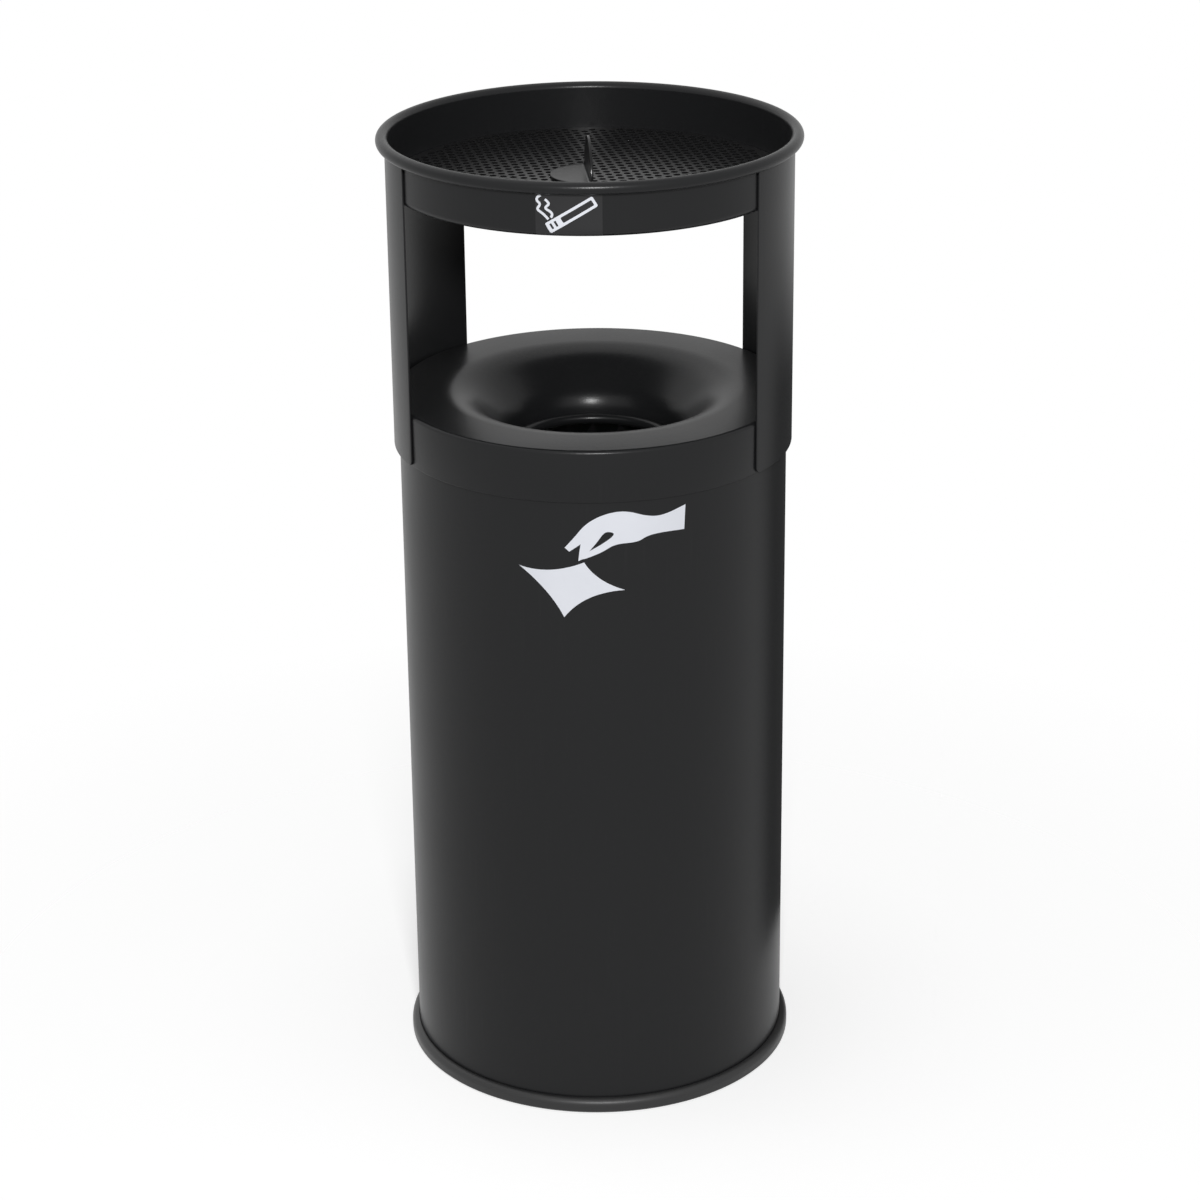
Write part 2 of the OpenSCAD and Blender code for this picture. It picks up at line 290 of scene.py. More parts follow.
def hemmed_wall():
    """Section of the shell: up the outside, half a turn over the hem, down to the fold, down inside."""
    hem = (BODY_R - SHEET, BODY_TOP - SHEET)
    fold = hem[1] - HEM_HEIGHT
    return join(
        (BODY_R, BODY_LOW),
        arc(hem, SHEET, 0, 180),
        (BODY_R - 2 * SHEET, fold),
        (BODY_R - SHEET, fold),
        (BODY_R - SHEET, BODY_LOW),
    )


def turned_down_floor(top, low, radius, bend):
    """Line function of a disc with its edge bent down: level from the axis, a quarter round, the edge."""
    def line_at(depth):
        return join(
            (0, top - depth),
            arc((radius - bend, top - bend), bend - depth, 90, 0),
            (radius - depth, low),
        )
    return line_at


spin("bin_shell", hemmed_wall(), "satin_black", "body", "body_shell")
floor_line = turned_down_floor(FLOOR_TOP, BODY_LOW, BODY_R - SHEET - WELD_GAP, FLOOR_BEND)
spin("bin_floor", sheet_section(floor_line, SHEET), "satin_black", "body", "body_floor")

# %% [markdown]
# ## The base ring
# A soft black plastic ring is pushed on the lower edge, so that the bin doesn't scratch the floor. Its
# section is a U that grips the sheet, with a big round flank outside and a small bevel at the foot. The upper
# edges have a small radius, as on any moulded plastic, and the groove that holds the sheet is left open.

# %% Base ring
RING_BEVEL = 1.5
RING_WEB = 3.0
RING_LIP_WIDTH = 3.0
RING_LIP_HEIGHT = 8.0
RING_LAND = 0.5
RING_EDGE = 0.4


def ring_section():
    """Section of the ring: flat foot, bevel, round flank, land, groove down and up, then the inner lip."""
    flank = RING_R - BODY_R - RING_LAND
    groove_out = BODY_R + WELD_GAP
    groove_in = BODY_R - 2 * SHEET - 2 * WELD_GAP
    lip = groove_in - RING_LIP_WIDTH
    return join(
        (lip, 0), (RING_R - RING_BEVEL, 0), (RING_R, RING_BEVEL),
        arc((RING_R - flank, RING_TOP - flank), flank, 0, 90),
        arc((groove_out + RING_EDGE, RING_TOP - RING_EDGE), RING_EDGE, 90, 180),
        (groove_out, RING_WEB), (groove_in, RING_WEB),
        arc((groove_in - RING_EDGE, RING_LIP_HEIGHT - RING_EDGE), RING_EDGE, 0, 90),
        arc((lip + RING_EDGE, RING_LIP_HEIGHT - RING_EDGE), RING_EDGE, 90, 180),
    )


spin("foot_ring", ring_section(), "ring_black", "body", "base_ring")

# %% [markdown]
# ## The funnel lid
# This is the piece that takes most skill on the lathe: one disc of sheet is spun into a skirt, a tight
# shoulder, a flat top, a wide soft curve into the mouth, a leaning funnel wall, a throat and a curled edge
# below. A single line runs through all of it, made of arcs that meet without a kink: each arc starts in the
# direction in which the last one ended.

# %% Lid
SHOULDER_R = 3.0
MOUTH_R = 118.0
MOUTH_BEND = 41.0
FUNNEL_LEAN = 45.0
THROAT_R = 66.5
THROAT_BEND = 30.0
THROAT_HEIGHT = 1.5
THROAT_BEAD = 4.0


def lid_line(depth):
    """Skirt, shoulder, flat, mouth curve, funnel wall, throat and inward curl, at a depth in the sheet."""
    lean = np.radians(FUNNEL_LEAN)
    run = MOUTH_R - THROAT_R - MOUTH_BEND * np.cos(lean) - THROAT_BEND * (1 - np.cos(lean))
    fall = run / np.tan(lean)
    throat_top = LID_TOP - MOUTH_BEND * (1 - np.sin(lean)) - fall - THROAT_BEND * np.sin(lean)
    bead = (THROAT_R + SHEET - THROAT_BEAD, throat_top - THROAT_HEIGHT)
    return join(
        (SKIRT_R - depth, SKIRT_LOW + SHEET / 2),
        arc((SKIRT_R - SHOULDER_R, LID_TOP - SHOULDER_R), SHOULDER_R - depth, 0, 90),
        arc((MOUTH_R, LID_TOP - MOUTH_BEND), MOUTH_BEND - depth, 90, 180 - FUNNEL_LEAN),
        arc((THROAT_R + THROAT_BEND, throat_top), THROAT_BEND - depth, 180 - FUNNEL_LEAN, 180),
        arc(bead, THROAT_BEAD - SHEET + depth, 0, -CURL_TURN),
    )


spin("funnel_lid", sheet_section(lid_line, SHEET), "satin_black", "head", "lid_cover")

# %% [markdown]
# ## Flat outlines that are bent afterwards
# An upright is cut from flat sheet, with two rounded corners, and then rolled. The tab is a disc folded in
# the middle. Both start as a grid over the flat outline, which a second function bends into place. One
# formula gives the grid at any inset: drawn in by the edge radius for the two faces, and by less for the
# border between them, so that a band of quads makes a rounded edge all the way round.

# %% Bent plates
EDGE_STEPS = 4


def outline_of(grid):
    """The border of a grid, once round: first column, last row, last column back, first row back."""
    return np.concatenate([grid[:, 0], grid[-1, 1:], grid[-2::-1, -1], grid[0, -2:0:-1]])


def flipped(flat):
    """The same flat grid with its columns in the opposite order, which turns its faces to the other side."""
    return lambda inset: flat(inset)[::-1]


def bent_plate(name, flat, bend, thickness, edge, finish, body, stands_for):
    """Closed plate from flat(inset), a grid of (s, t), and bend(points, depth), which puts them in space.

    The two faces lie at depth 0 and at the thickness, drawn in by the edge radius. Between them the border
    follows a quarter circle, a straight wall and a quarter circle of (inset, depth).
    """
    face = flat(edge)
    rows, columns = face.shape[:2]
    angle = np.linspace(0, np.pi / 2, EDGE_STEPS + 1)
    inset = edge * (1 - np.sin(angle))
    depth = edge * (1 - np.cos(angle))
    inset = np.concatenate([inset, inset[::-1]])
    depth = np.concatenate([depth, thickness - depth[::-1]])
    band = np.stack([bend(outline_of(flat(i)), d) for i, d in zip(inset, depth)])
    band_faces = grid_quads(*band.shape[:2], wrap_columns=True)
    front = bend(face.reshape(-1, 2), 0.0)
    back = bend(face.reshape(-1, 2), thickness)
    quads = grid_quads(rows, columns)
    points = np.concatenate([front, back, band.reshape(-1, 3)])
    faces = np.concatenate([quads, quads[:, ::-1] + len(front), band_faces + 2 * len(front)])
    add_piece(name, points, faces, finish, body, stands_for)


# %% [markdown]
# ## The uprights
# Two curved plates carry the pan. They are welded outside the lid's skirt and outside the pan, so their edges
# stand out and throw a thin shadow line. They reach further round at the back than at the front, which leaves
# a wider opening for the hand in front.

# %% Uprights
UPRIGHT_SHEET = 1.5
UPRIGHT_CORNER = 5.0
UPRIGHT_EDGE = 0.45
UPRIGHT_FRONT = 32.0
UPRIGHT_BACK = 43.5
CORNER_STEPS = 8
UPRIGHT_COLUMNS = 72
UPRIGHT_ROWS = 4


def upright_flat(inset):
    """Unrolled upright: columns from front to back, whose foot follows a quarter round at both ends.

    s is the length along the sheet at the outer face, and t the height.
    """
    start = -np.radians(UPRIGHT_FRONT) * UPRIGHT_R + inset
    stop = np.radians(UPRIGHT_BACK) * UPRIGHT_R - inset
    corner = UPRIGHT_CORNER - inset
    turn = np.linspace(0, np.pi / 2, CORNER_STEPS + 1)
    rise = corner * (1 - np.sin(turn))
    run = corner * (1 - np.cos(turn))
    middle = np.linspace(start + corner, stop - corner, UPRIGHT_COLUMNS)[1:-1]
    s = np.concatenate([start + run, middle, stop - run[::-1]])
    foot = UPRIGHT_LOW + inset + np.concatenate([rise, np.zeros_like(middle), rise[::-1]])
    share = np.linspace(0, 1, UPRIGHT_ROWS)
    height = foot[:, None] + (UPRIGHT_TOP - inset - foot)[:, None] * share
    return np.stack([np.broadcast_to(s[:, None], height.shape), height], axis=-1)


def rolled(side):
    """Bend function that rolls (s, t) on the upright's cylinder; side 1 is right, -1 its mirror image."""
    def bend(points, depth):
        angle = points[:, 0] / UPRIGHT_R
        radius = UPRIGHT_R - depth
        return np.column_stack([side * radius * np.cos(angle), radius * np.sin(angle), points[:, 1]])
    return bend


bent_plate(
    "upright_plate_right", upright_flat, rolled(1), UPRIGHT_SHEET, UPRIGHT_EDGE,
    "satin_black", "head", "upright_right")
bent_plate(
    "upright_plate_left", flipped(upright_flat), rolled(-1), UPRIGHT_SHEET, UPRIGHT_EDGE,
    "satin_black", "head", "upright_left")

# %% [markdown]
# ## The ash pan
# The pan is spun too: a floor, a round corner, a wall, and a rim rolled outwards into a bead. The bead is a
# real curl with an open seam underneath, not a torus stuck on the wall.

# %% Ash pan
PAN_CORNER = 4.5
RIM_BEAD = 4.7
PAN_R = SKIRT_R


def pan_line(depth):
    """Floor from the axis, the corner, the wall and the outward curl of the rim, at a depth in the sheet."""
    outer = PAN_CORNER + SHEET
    bead = (PAN_R - SHEET + RIM_BEAD, RIM_TOP - RIM_BEAD)
    return join(
        (0, PAN_LOW + depth),
        arc((PAN_R - outer, PAN_LOW + outer), outer - depth, -90, 0),
        arc(bead, RIM_BEAD - SHEET + depth, 180, 180 - CURL_TURN),
    )


spin("ash_pan_shell", sheet_section(pan_line, SHEET), "satin_black", "head", "ash_pan")

# %% [markdown]
# ## The lifting tab
# A disc is folded square along its middle. One half is welded to the plate, the other stands up as the grip.
# The flat disc is a grid of chords: each column is one chord, as long as the circle is wide there. Points
# before the fold stay level and points after it go straight up, as far from the corner as in the flat disc.

# %% Lifting tab
TAB_R = 30.5
TAB_SHEET = 2.0
TAB_BEND = 1.5
TAB_EDGE = 0.5
TAB_TURN = np.radians(10)
TAB_COLUMNS = 49
TAB_ROWS = 13


def tab_flat(inset):
    """Grid over the disc: s runs across the fold as -R cos a, t along it as a share of the chord R sin a."""
    angle = np.linspace(0, np.pi, TAB_COLUMNS)
    radius = TAB_R - inset
    share = np.linspace(-1, 1, TAB_ROWS)
    chord = radius * np.outer(np.sin(angle), share)
    return np.stack([np.broadcast_to(-radius * np.cos(angle)[:, None], chord.shape), chord], axis=-1)


def folded(points, depth):
    """Bends the disc square along s = 0, with the fold's arc about a centre above the plate."""
    outer = TAB_BEND + TAB_SHEET
    s, along = points.T
    turn = np.clip((s + outer) / (2 * outer), 0, 1) * np.pi / 2
    level = np.minimum(s + outer, 0.0)
    raised = np.maximum(s - outer, 0.0)
    radius = outer - depth
    across = level - outer + radius * np.sin(turn)
    up = raised + outer - radius * np.cos(turn)
    cos, sin = np.cos(TAB_TURN), np.sin(TAB_TURN)
    return np.column_stack([across * cos - along * sin, across * sin + along * cos, PLATE_TOP + up])


bent_plate(
    "lifting_grip", flipped(tab_flat), folded, TAB_SHEET, TAB_EDGE,
    "plate_black", "grid", "lifting_tab")

# %% [markdown]
# ## The inner bucket
# A galvanised bucket takes the litter. Its wall has a small rolled rim, and its floor is a pressed disc set a
# little above the lower edge. It is bare zinc, so it will get a finish of its own.

# %% Bucket wall and floor
LINER_SHEET = 0.8
LINER_BEAD = 2.2
LINER_BEND = 2 * LINER_SHEET
LINER_IN = reach("liner_wall") - 2 * LINER_BEAD


def liner_line(depth):
    """The bucket's wall from its lower edge, then the outward curl of its rim, at a depth in the sheet."""
    bead = (LINER_IN + LINER_BEAD, LINER_TOP - LINER_BEAD)
    return join(
        (LINER_IN + LINER_SHEET - depth, LINER_LOW + LINER_SHEET / 2),
        arc(bead, LINER_BEAD - LINER_SHEET + depth, 180, 180 - CURL_TURN),
    )


spin("bucket_wall", sheet_section(liner_line, LINER_SHEET), "zinc_spangle", "liner", "liner_wall")
liner_disc = turned_down_floor(
    LINER_FLOOR_TOP, LINER_LOW + LINER_SHEET / 2, LINER_IN - WELD_GAP, LINER_BEND)
spin("bucket_floor", sheet_section(liner_disc, LINER_SHEET), "zinc_spangle", "liner", "liner_floor")

# %% [markdown]
# ## The bail and its rivets
# The bail is one length of wire: a pin through each ear, a tight elbow, and a half ring round the back. A
# curve object with a bevel would do, but carrying a circle along the path in numpy keeps the elbow's rings
# evenly spaced. At each point the circle stands square to the path, on the path's own side direction and Z.

# %% Bail
WIRE_R = 2.25
ELBOW_R = 4.0
PIN_LENGTH = 2.3
WIRE_SIDES = 16
ELBOW_POINTS = 9
HALF_RING_POINTS = 97
BAIL_R = BAIL_OUT - WIRE_R


def bail_path():
    """Plan of the bail from its right pin to its left one, as points (x, y) and their tangents."""
    elbow_angle = np.linspace(-np.pi / 2, 0, ELBOW_POINTS)
    elbow = np.column_stack([
        BAIL_R - ELBOW_R + ELBOW_R * np.cos(elbow_angle), ELBOW_R + ELBOW_R * np.sin(elbow_angle)])
    start = np.arcsin(ELBOW_R / BAIL_R)
    ring_angle = np.linspace(start, np.pi - start, HALF_RING_POINTS)[1:-1]
    ring = BAIL_R * np.column_stack([np.cos(ring_angle), np.sin(ring_angle)])
    tail = elbow[:1] - [[PIN_LENGTH, 0]]
    half = np.concatenate([tail, elbow])
    path = np.concatenate([half, ring, half[::-1] * [-1, 1]])
    tangent = np.gradient(path, axis=0)
    return path, tangent / np.linalg.norm(tangent, axis=1, keepdims=True)


def wire_mesh(path, tangent):
    """Round wire along a level path: point = path + r cos a * side + r sin a * up, closed by end points."""
    angle = np.linspace(0, 2 * np.pi, WIRE_SIDES, endpoint=False)
    side = np.column_stack([tangent[:, 1], -tangent[:, 0]])
    flat = path[:, None] + WIRE_R * np.cos(angle)[None, :, None] * side[:, None]
    up = np.broadcast_to(BAIL_Z + WIRE_R * np.sin(angle), flat.shape[:2])
    tube = np.concatenate([flat, up[..., None]], axis=-1)
    ends = [np.broadcast_to(ring.mean(axis=0), ring.shape)[None] for ring in (tube[0], tube[-1])]
    tube = np.concatenate([ends[0], tube, ends[1]])
    return tube.reshape(-1, 3), grid_quads(*tube.shape[:2], wrap_columns=True)


add_piece("bucket_bail", *wire_mesh(*bail_path()), "zinc_wire", "bail", "liner_bail")

# %% [markdown]
# Rivets hold the ears. Each has a domed head on both sides, so its section is half a lens, a shank and half a
# lens. The section is spun about a level axis this time and then turned to its place on the wall.

# %% Rivets
RIVET_R = 2.0
RIVET_HEAD_R = 3.5
RIVET_HEAD = 1.0
RIVET_TURN = 7.5
RIVET_STEPS = 24
DOME_POINTS = 6
EAR_SHEET = 1.5
RIVET_IN = LINER_IN - WELD_GAP
RIVET_OUT = LINER_IN + LINER_SHEET + EAR_SHEET + 2 * WELD_GAP


def rivet_section():
    """Half section (radius, distance along the rivet): an inner dome, the shank, and an outer dome."""
    dome = np.linspace(0, np.pi / 2, DOME_POINTS)
    inner = np.column_stack([RIVET_HEAD_R * np.sin(dome), RIVET_IN - RIVET_HEAD * np.cos(dome)])
    outer = np.column_stack([RIVET_HEAD_R * np.cos(dome), RIVET_OUT + RIVET_HEAD * np.sin(dome)])
    return join(inner, (RIVET_R, RIVET_IN), (RIVET_R, RIVET_OUT), outer)


def rivet_mesh(turns):
    """Spins the rivet's section about X, then turns a copy about Z for each place on the wall."""
    radius, along = rivet_section().T
    angle = np.linspace(0, 2 * np.pi, RIVET_STEPS, endpoint=False)
    one = np.stack([
        np.broadcast_to(along, (RIVET_STEPS, len(along))),
        np.outer(np.cos(angle), radius),
        np.outer(np.sin(angle), radius),
    ], axis=-1).reshape(-1, 3)
    cos, sin = np.cos(np.radians(turns))[:, None], np.sin(np.radians(turns))[:, None]
    x, y, z = one.T
    points = np.stack([x * cos - y * sin, x * sin + y * cos, BAIL_Z + np.tile(z, (len(turns), 1))], axis=-1)
    faces = grid_quads(RIVET_STEPS, len(along), wrap_rows=True)
    offsets = np.arange(len(turns))[:, None, None] * len(one)
    return points.reshape(-1, 3), (faces[None] + offsets).reshape(-1, 4)


rivet_turns = np.array([-RIVET_TURN, RIVET_TURN, 180 - RIVET_TURN, 180 + RIVET_TURN])
add_piece("ear_rivet_heads", *rivet_mesh(rivet_turns), "zinc_wire", "liner", "ear_rivets")

# %% [markdown]
# ## The two signs
# White film signs show what goes where: a burning cigarette on the pan, a hand that drops a sheet of paper on
# the body. They are plain drawings of this script's own. Each is a set of closed loops in millimetres, along
# the wall and up it. A triangulation fills the loops, with a lattice of inner points so that the film follows
# the round wall instead of cutting across it, and a second copy underneath gives the film its thickness.

# %% Filling and wrapping a sign
FILM_LIFT = 0.03
FILM_THICK = 0.12
LATTICE = 3.5
LATTICE_CLEAR = 1 / 3
SMOOTH_STEPS = 6
SAME_POINT = 1e-4
FILL_TOLERANCE = 1e-6


def pulled(start, pull, end, steps):
    """Quadratic curves, one per row: (1 - t)^2 start + 2 t (1 - t) pull + t^2 end, last points left out."""
    t = np.linspace(0, 1, steps, endpoint=False)[None, :, None]
    curve = (1 - t) ** 2 * start[:, None] + 2 * t * (1 - t) * pull[:, None] + t ** 2 * end[:, None]
    return curve.reshape(-1, 2)


def soft_loop(points):
    """Closed quadratic B-spline: curves from mid-edge to mid-edge. A repeated point is a corner."""
    p = np.asarray(points, float)
    curve = pulled((np.roll(p, 1, axis=0) + p) / 2, p, (p + np.roll(p, -1, axis=0)) / 2, SMOOTH_STEPS)
    step = np.linalg.norm(np.roll(curve, -1, axis=0) - curve, axis=1)
    return curve[step > SAME_POINT]


def inside(points, loops):
    """Even-odd test: inside is where a level ray to the right crosses the loops an odd number of times."""
    crossings = np.zeros(len(points), int)
    for loop in loops:
        (x0, y0), (x1, y1) = loop.T[:, None], np.roll(loop, -1, axis=0).T[:, None]
        x, y = points[:, 0, None], points[:, 1, None]
        spans = (y0 > y) != (y1 > y)
        rise = np.where(y1 == y0, 1.0, y1 - y0)
        crossings += (spans & (x < x0 + (y - y0) / rise * (x1 - x0))).sum(axis=1)
    return crossings % 2 == 1


def finer(loop, step):
    """The same closed loop with its long edges divided evenly, so that no piece is longer than the step."""
    ends = np.roll(loop, -1, axis=0)
    counts = np.ceil(np.linalg.norm(ends - loop, axis=1) / step).astype(int)
    return np.concatenate([np.linspace(a, b, n, endpoint=False) for a, b, n in zip(loop, ends, counts)])


def fill_loops(loops, step):
    """Points and triangles that fill closed loops, with a lattice of inner points clear of the border."""
    border = np.concatenate(loops)
    along, up = (np.arange(low, high, step) for low, high in zip(border.min(axis=0), border.max(axis=0)))
    lattice = np.stack(np.meshgrid(along, up), axis=-1).reshape(-1, 2)
    clear = np.linalg.norm(lattice[:, None] - border[None], axis=-1).min(axis=1) > step * LATTICE_CLEAR
    lattice = lattice[clear & inside(lattice, loops)]
    sizes = [len(loop) for loop in loops]
    firsts = np.concatenate([[0], np.cumsum(sizes)[:-1]])
    edges = np.concatenate([
        np.column_stack([np.arange(n), (np.arange(n) + 1) % n]) + first for n, first in zip(sizes, firsts)])
    spots = [Vector(spot) for spot in np.concatenate([border, lattice]).tolist()]
    made, _, triangles, *_ = delaunay_2d_cdt(spots, edges.tolist(), [], 0, FILL_TOLERANCE, False)
    made, triangles = np.array([tuple(v) for v in made]), np.array(triangles)
    return made, triangles[inside(made[triangles].mean(axis=1), loops)]


def film(name, loops, wrap, finish, body, step=LATTICE):
    """Thin closed film from loops; wrap(points, height) puts (along, up) on the wall at a height above it."""
    flat, triangles = fill_loops([finer(loop, step) for loop in loops], step)
    sides = np.concatenate([triangles[:, [0, 1]], triangles[:, [1, 2]], triangles[:, [2, 0]]])
    _, first, count = np.unique(np.sort(sides, axis=1), axis=0, return_index=True, return_counts=True)
    a, b = sides[first[count == 1]].T
    n = len(flat)
    walls = np.concatenate([np.column_stack([a, a + n, b + n]), np.column_stack([a, b + n, b])])
    points = np.concatenate([wrap(flat, FILM_LIFT + FILM_THICK), wrap(flat, FILM_LIFT)])
    faces = np.concatenate([triangles, triangles[:, ::-1] + n, walls])
    add_piece(name, points, faces, finish, body)


# %% Sign on the body: a hand and a sheet of paper
FRONT = -np.pi / 2
BOW_STEPS = 14


def on_body(points, height):
    """Wraps (along, up) on the body's wall, with along = 0 at the front."""
    angle, radius = FRONT + points[:, 0] / BODY_R, BODY_R + height
    return np.column_stack([radius * np.cos(angle), radius * np.sin(angle), points[:, 1]])


def bowed(corners, pulls):
    """Closed loop of quadratic curves between corners, each pulled to its own control point."""
    corners = np.asarray(corners, float)
    return pulled(corners, np.asarray(pulls, float), np.roll(corners, -1, axis=0), BOW_STEPS)


paper = bowed(
    corners=[(-43.5, 464.5), (-9, 425.5), (37, 447), (6.5, 470)],
    pulls=[(-20, 448), (7, 447), (15, 455), (-20, 459)])
SLEEVE_TOP, SLEEVE_LOW = (85, 509.5), (84, 490)
INDEX_TIP, INDEX_UNDER, INDEX_ROOT = (-8, 481.5), (-4.5, 478.5), (4, 484.5)
FINGER_TIP, FINGER_CLEFT, THUMB_TIP = (2.2, 471), (5, 472.5), (8, 473.2)
GRIP_LOW = (10.5, 479)
hand = soft_loop([
    SLEEVE_TOP, SLEEVE_TOP, (66, 503.5), (54, 504.5), (38, 510.5), (22, 508.5), (8, 501), (-1, 489.5),
    INDEX_TIP, INDEX_TIP, INDEX_UNDER, INDEX_UNDER, INDEX_ROOT, INDEX_ROOT, (3, 478.5),
    FINGER_TIP, FINGER_TIP, FINGER_CLEFT, FINGER_CLEFT, THUMB_TIP, THUMB_TIP,
    (20, 478), (30, 484.5), (47, 484.5), (54, 489), (66, 490.5), SLEEVE_LOW, SLEEVE_LOW])
grip_gap = soft_loop([
    GRIP_LOW, GRIP_LOW, (17, 487), (22, 494.5), (29, 493.5), (28.5, 490.5), (20, 484.5)])
film("sign_paper", [paper], on_body, "sign_white", "body")
film("sign_hand", [hand, grip_gap], on_body, "sign_white", "body")

# %% [markdown]
# The cigarette sits on the pan, whose wall turns under at the bottom. So its wrapping follows the pan's own
# section: straight on the wall, then round the corner by the same length. Its pieces are divided more finely
# than the body's sign, because the corner is tight. The smoke is two strokes with one width: each follows a
# smooth curve led by a few points, and its borders lie half a width to either side.

# %% Sign on the pan: a burning cigarette on a patch of dark film
PAN_BEND = PAN_CORNER + SHEET
PAN_BEND_TOP = PAN_LOW + PAN_BEND
PAN_STEP = 1.2
CIGARETTE_TILT = np.radians(31)
CIGARETTE_FOOT = np.array([-16.4, 727.1])
CIGARETTE_LENGTH = 40.0
CIGARETTE_WIDTH = 8.4
CIGARETTE_LINE = 2.0
CIGARETTE_ROUND = 1.2
HOLLOW_START = 12.0
HOLLOW_ROUND = 0.8
EMBER_SLITS = [(2.6, 4.2), (6.3, 7.9)]
SLIT_ROUND = 0.3
SMOKE_WIDTH = 1.8
PATCH_LOW, PATCH_HIGH = (-25.4, 721.4), (23, 752.5)


def on_pan(points, height):
    """Wraps (along, up) on the pan: below the bend's top, lengths follow the corner's quarter circle."""
    angle = FRONT + points[:, 0] / PAN_R
    turn = np.clip((PAN_BEND_TOP - points[:, 1]) / PAN_BEND, 0, np.pi / 2)
    radius = PAN_R - PAN_BEND + (PAN_BEND + height) * np.cos(turn)
    z = np.where(turn > 0, PAN_BEND_TOP - (PAN_BEND + height) * np.sin(turn), points[:, 1])
    return np.column_stack([radius * np.cos(angle), radius * np.sin(angle), z])


def over_patch(points, height):
    """As on_pan, but one film thickness higher, on top of the dark patch."""
    return on_pan(points, height + FILM_THICK)


def tilted(points):
    """Turns points given along and across the cigarette by its tilt, and moves them to its burning end."""
    cos, sin = np.cos(CIGARETTE_TILT), np.sin(CIGARETTE_TILT)
    return np.asarray(points) @ np.array([[cos, sin], [-sin, cos]]) + CIGARETTE_FOOT


def slab(x0, x1, width, radius):
    """Rectangle along the cigarette from x0 to x1 with rounded corners."""
    half = width / 2
    corners = [((x1, half), 0), ((x0, half), 90), ((x0, -half), 180), ((x1, -half), 270)]
    return tilted(np.concatenate([
        arc((x - np.sign(x - (x0 + x1) / 2) * radius, y - np.sign(y) * radius), radius, a, a + 90)
        for (x, y), a in corners]))


def stroke(points):
    """Stroke of one width along an open quadratic B-spline, from mid-edge to mid-edge of the points."""
    p = np.asarray(points, float)
    middles = (p[:-1] + p[1:]) / 2
    line = np.concatenate([pulled(middles[:-1], p[1:-1], middles[1:], SMOOTH_STEPS), middles[-1:]])
    tangent = np.gradient(line, axis=0)
    normal = np.column_stack([-tangent[:, 1], tangent[:, 0]]) / np.linalg.norm(tangent, axis=1, keepdims=True)
    return np.concatenate([line + normal * SMOKE_WIDTH / 2, (line - normal * SMOKE_WIDTH / 2)[::-1]])


inner_width = CIGARETTE_WIDTH - 2 * CIGARETTE_LINE
cigarette = [
    slab(0, CIGARETTE_LENGTH, CIGARETTE_WIDTH, CIGARETTE_ROUND),
    slab(HOLLOW_START, CIGARETTE_LENGTH - CIGARETTE_LINE, inner_width, HOLLOW_ROUND),
    *(slab(*slit, inner_width, SLIT_ROUND) for slit in EMBER_SLITS),
]
smokes = [
    stroke([
        (-19, 752), (-23.5, 750.5), (-24.6, 747.5), (-21.2, 744.8),
        (-24.6, 741), (-20.3, 738.4), (-17, 735.2), (-14.6, 732.6)]),
    stroke([(-20, 750), (-16.4, 747), (-15, 745), (-19, 742), (-13, 739), (-13.2, 736), (-15, 734.6)]),
]
(left, bottom), (right, top) = PATCH_LOW, PATCH_HIGH
patch = np.array([(left, bottom), (right, bottom), (right, top), (left, top)])
film("sign_patch", [patch], on_pan, "sign_film", "head", PAN_STEP)
film("sign_cigarette", cigarette, over_patch, "sign_white", "head", PAN_STEP)
film("sign_smoke", smokes, over_patch, "sign_white", "head", PAN_STEP)

# %% [markdown]
# ## Finishes: shared effects as node groups
# Powder coat is never quite smooth: it has a fine orange peel, and its gloss wanders a little over a hand's
# breadth. Handling leaves faint rubs, and level faces catch dust. These effects turn up on several finishes,
# so each is built once as a node group and placed in a material with its own values.

# %% Node helpers
def add_node(tree, kind, inputs=None, **settings):
    """Adds a shader node, sets its properties, and fills or links its inputs by name or number."""
    made = tree.nodes.new("ShaderNode" + kind)
    for key, value in settings.items():
        setattr(made, key, value)
    for key, value in (inputs or {}).items():
        if isinstance(value, bpy.types.NodeSocket):
            tree.links.new(value, made.inputs[key])
        else:
            made.inputs[key].default_value = value
    return made


def product(tree, first, second):
    """Socket with the product of two values."""
    return add_node(tree, "Math", {0: first, 1: second}, operation="MULTIPLY").outputs[0]


def weighted_sum(tree, value, weight, rest):
    """Socket with a value times its weight, plus the rest."""
    return add_node(tree, "Math", {0: value, 1: weight, 2: rest}, operation="MULTIPLY_ADD").outputs[0]


def remapped(tree, value, span, to=(0.0, 1.0), **settings):
    """Socket with a value carried from one span to another, and held at the ends."""
    ends = {1: span[0], 2: span[1], 3: to[0], 4: to[1]}
    return add_node(tree, "MapRange", {0: value, **ends}, **settings).outputs[0]


def noise(tree, place, scale, detail, **more):
    """Socket with noise from about 0 to 1: scale is its waves per unit of place, detail its finer octaves."""
    return add_node(tree, "TexNoise", {"Vector": place, "Scale": scale, "Detail": detail, **more}).outputs[0]


def start_group(name, inputs, outputs):
    """A new node group with named sockets, given as (name, kind, default), and its input and output nodes."""
    tree = bpy.data.node_groups.new(name, "ShaderNodeTree")
    for label, kind, default in inputs:
        socket = tree.interface.new_socket(label, in_out="INPUT", socket_type="NodeSocket" + kind)
        if default is not None:
            socket.default_value = default
    for label, kind in outputs:
        tree.interface.new_socket(label, in_out="OUTPUT", socket_type="NodeSocket" + kind)
    return tree, tree.nodes.new("NodeGroupInput"), tree.nodes.new("NodeGroupOutput")


# %% Coat grain group
BROAD_SCALE = 0.22
BROAD_HEIGHT = 0.6


